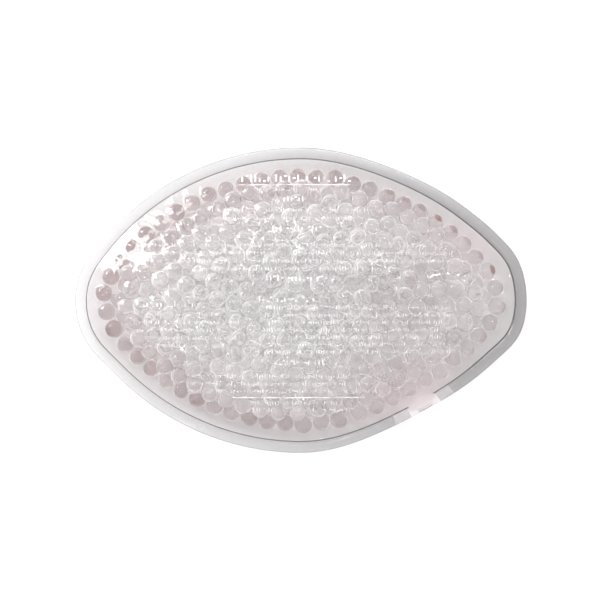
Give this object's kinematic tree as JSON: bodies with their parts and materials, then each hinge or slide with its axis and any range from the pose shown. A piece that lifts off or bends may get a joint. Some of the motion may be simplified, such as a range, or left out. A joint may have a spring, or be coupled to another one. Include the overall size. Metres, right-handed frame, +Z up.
{
  "type": "eye pillow",
  "caption": "Lens-shaped pouch of clear film, welded round its rim and filled with soft pink-tinted gel beads, for resting warm or cold over closed eyes.",
  "frame": {"origin": "middle of the flat face that the pillow rests on, at the centre of its length and width", "axes": "+Z up from the surface it lies on, through the front sheet; +X along the pillow's length, from tip to tip; +Y across it, so that the fill port is on the -Y edge towards +X"},
  "size_m": [0.13, 0.088, 0.0154],
  "materials": {
    "film_clear": "clear glossy flexible film",
    "weld_clear": "clear film melted into one layer, glossy and faintly grey",
    "gel_rose": "wet water gel, faint rose tint",
    "gel_clear": "wet water gel, nearly clear"
  },
  "bodies": {
    "root": {"back_film": "film_clear", "front_film": "film_clear", "weld_rim": "weld_clear", "port_weld": "weld_clear", "seam_flash": "weld_clear", "bead_bed": "gel_clear", "bead_01": "gel_rose", "bead_02": "gel_rose", "bead_03": "gel_rose", "bead_04": "gel_rose", "bead_05": "gel_rose", "bead_06": "gel_rose", "bead_07": "gel_rose", "bead_08": "gel_rose", "bead_09": "gel_rose", "bead_10": "gel_rose", "bead_11": "gel_rose", "bead_12": "gel_rose", "bead_13": "gel_rose", "bead_14": "gel_rose", "bead_15": "gel_rose", "bead_16": "gel_rose", "bead_17": "gel_rose", "bead_18": "gel_rose", "bead_19": "gel_rose", "bead_20": "gel_rose", "bead_21": "gel_rose", "bead_22": "gel_rose", "bead_23": "gel_rose", "bead_24": "gel_rose", "bead_25": "gel_rose", "bead_26": "gel_rose", "bead_27": "gel_rose", "bead_28": "gel_rose", "bead_29": "gel_rose", "bead_30": "gel_rose", "bead_31": "gel_rose", "bead_32": "gel_rose", "bead_33": "gel_rose", "bead_34": "gel_rose", "bead_35": "gel_rose", "bead_36": "gel_rose", "bead_37": "gel_rose", "bead_38": "gel_rose", "bead_39": "gel_rose", "bead_40": "gel_rose", "bead_41": "gel_rose", "bead_42": "gel_rose", "bead_43": "gel_rose", "bead_44": "gel_rose", "bead_45": "gel_rose", "bead_46": "gel_rose", "bead_47": "gel_rose", "bead_48": "gel_rose", "bead_49": "gel_rose", "bead_50": "gel_rose", "bead_51": "gel_rose", "bead_52": "gel_rose", "bead_53": "gel_rose", "bead_54": "gel_rose"}
  },
  "joints": []
}
